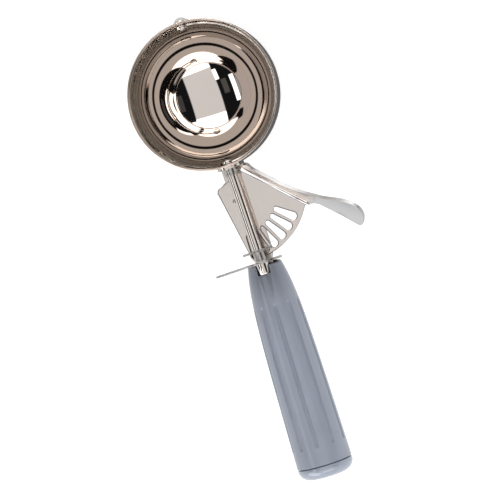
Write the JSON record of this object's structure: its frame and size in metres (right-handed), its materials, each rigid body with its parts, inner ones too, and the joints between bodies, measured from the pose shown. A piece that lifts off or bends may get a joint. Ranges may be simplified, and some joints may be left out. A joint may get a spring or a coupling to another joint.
{
  "type": "lever ice cream scoop",
  "caption": "Ice cream scoop with a round steel bowl, a curved scraper blade swept by a sprung thumb lever through a slotted sector and star pinion, and a fluted grey handle.",
  "frame": {"origin": "centre of the bowl's mouth, in the plane of its rim", "axes": "+Z straight out of the mouth; +Y along the shaft, away from the handle; +X to the side of the thumb lever"},
  "size_m": [0.0885, 0.2231, 0.0484],
  "materials": {
    "polished_steel": "mirror polished stainless steel",
    "satin_steel": "bright stainless sheet, lightly buffed",
    "pin_steel": "turned and tumbled stainless steel",
    "spring_steel": "drawn spring wire",
    "grip_plastic": "fine satin moulded grey plastic",
    "cap_plastic": "satin moulded grey plastic, slightly bluer than the grip"
  },
  "bodies": {
    "frame": {"bowl": "polished_steel", "bowl_bracket": "polished_steel", "shank": "satin_steel", "shank_rivets": "pin_steel", "shaft_bush": "pin_steel", "far_bush": "pin_steel", "pivot_pin": "pin_steel", "lever_washer": "pin_steel", "spring_spool": "pin_steel", "return_spring": "spring_steel", "guard_plate": "satin_steel", "end_bush": "polished_steel", "handle_grip": "grip_plastic", "end_cap": "cap_plastic", "tang_washer": "pin_steel", "tang_nut": "pin_steel"},
    "lever": {"thumb_lever": "satin_steel"},
    "scraper": {"scraper_blade": "polished_steel", "blade_shaft": "polished_steel", "star_pinion": "satin_steel", "pinion_pin": "pin_steel", "shaft_clip": "pin_steel", "blade_pivot_pin": "polished_steel"}
  },
  "joints": [
    {"name": "lever_press", "type": "hinge", "parent": "frame", "child": "lever", "pos_m": [-0.0045, -0.0453, -0.0145], "axis": [0, 0, -1], "range_deg": [0, 34.8], "stiffness_Nm_per_rad": 0.4, "springref_deg": -11.46, "deforming": ["return_spring"]},
    {"name": "scraper_turn", "type": "hinge", "parent": "frame", "child": "scraper", "pos_m": [0, 0, -0.008], "axis": [0, 1, 0], "range_deg": [0, 170]}
  ],
  "couplings": [
    {"joint": "scraper_turn", "follows": "lever_press", "ratio": 4.875}
  ]
}
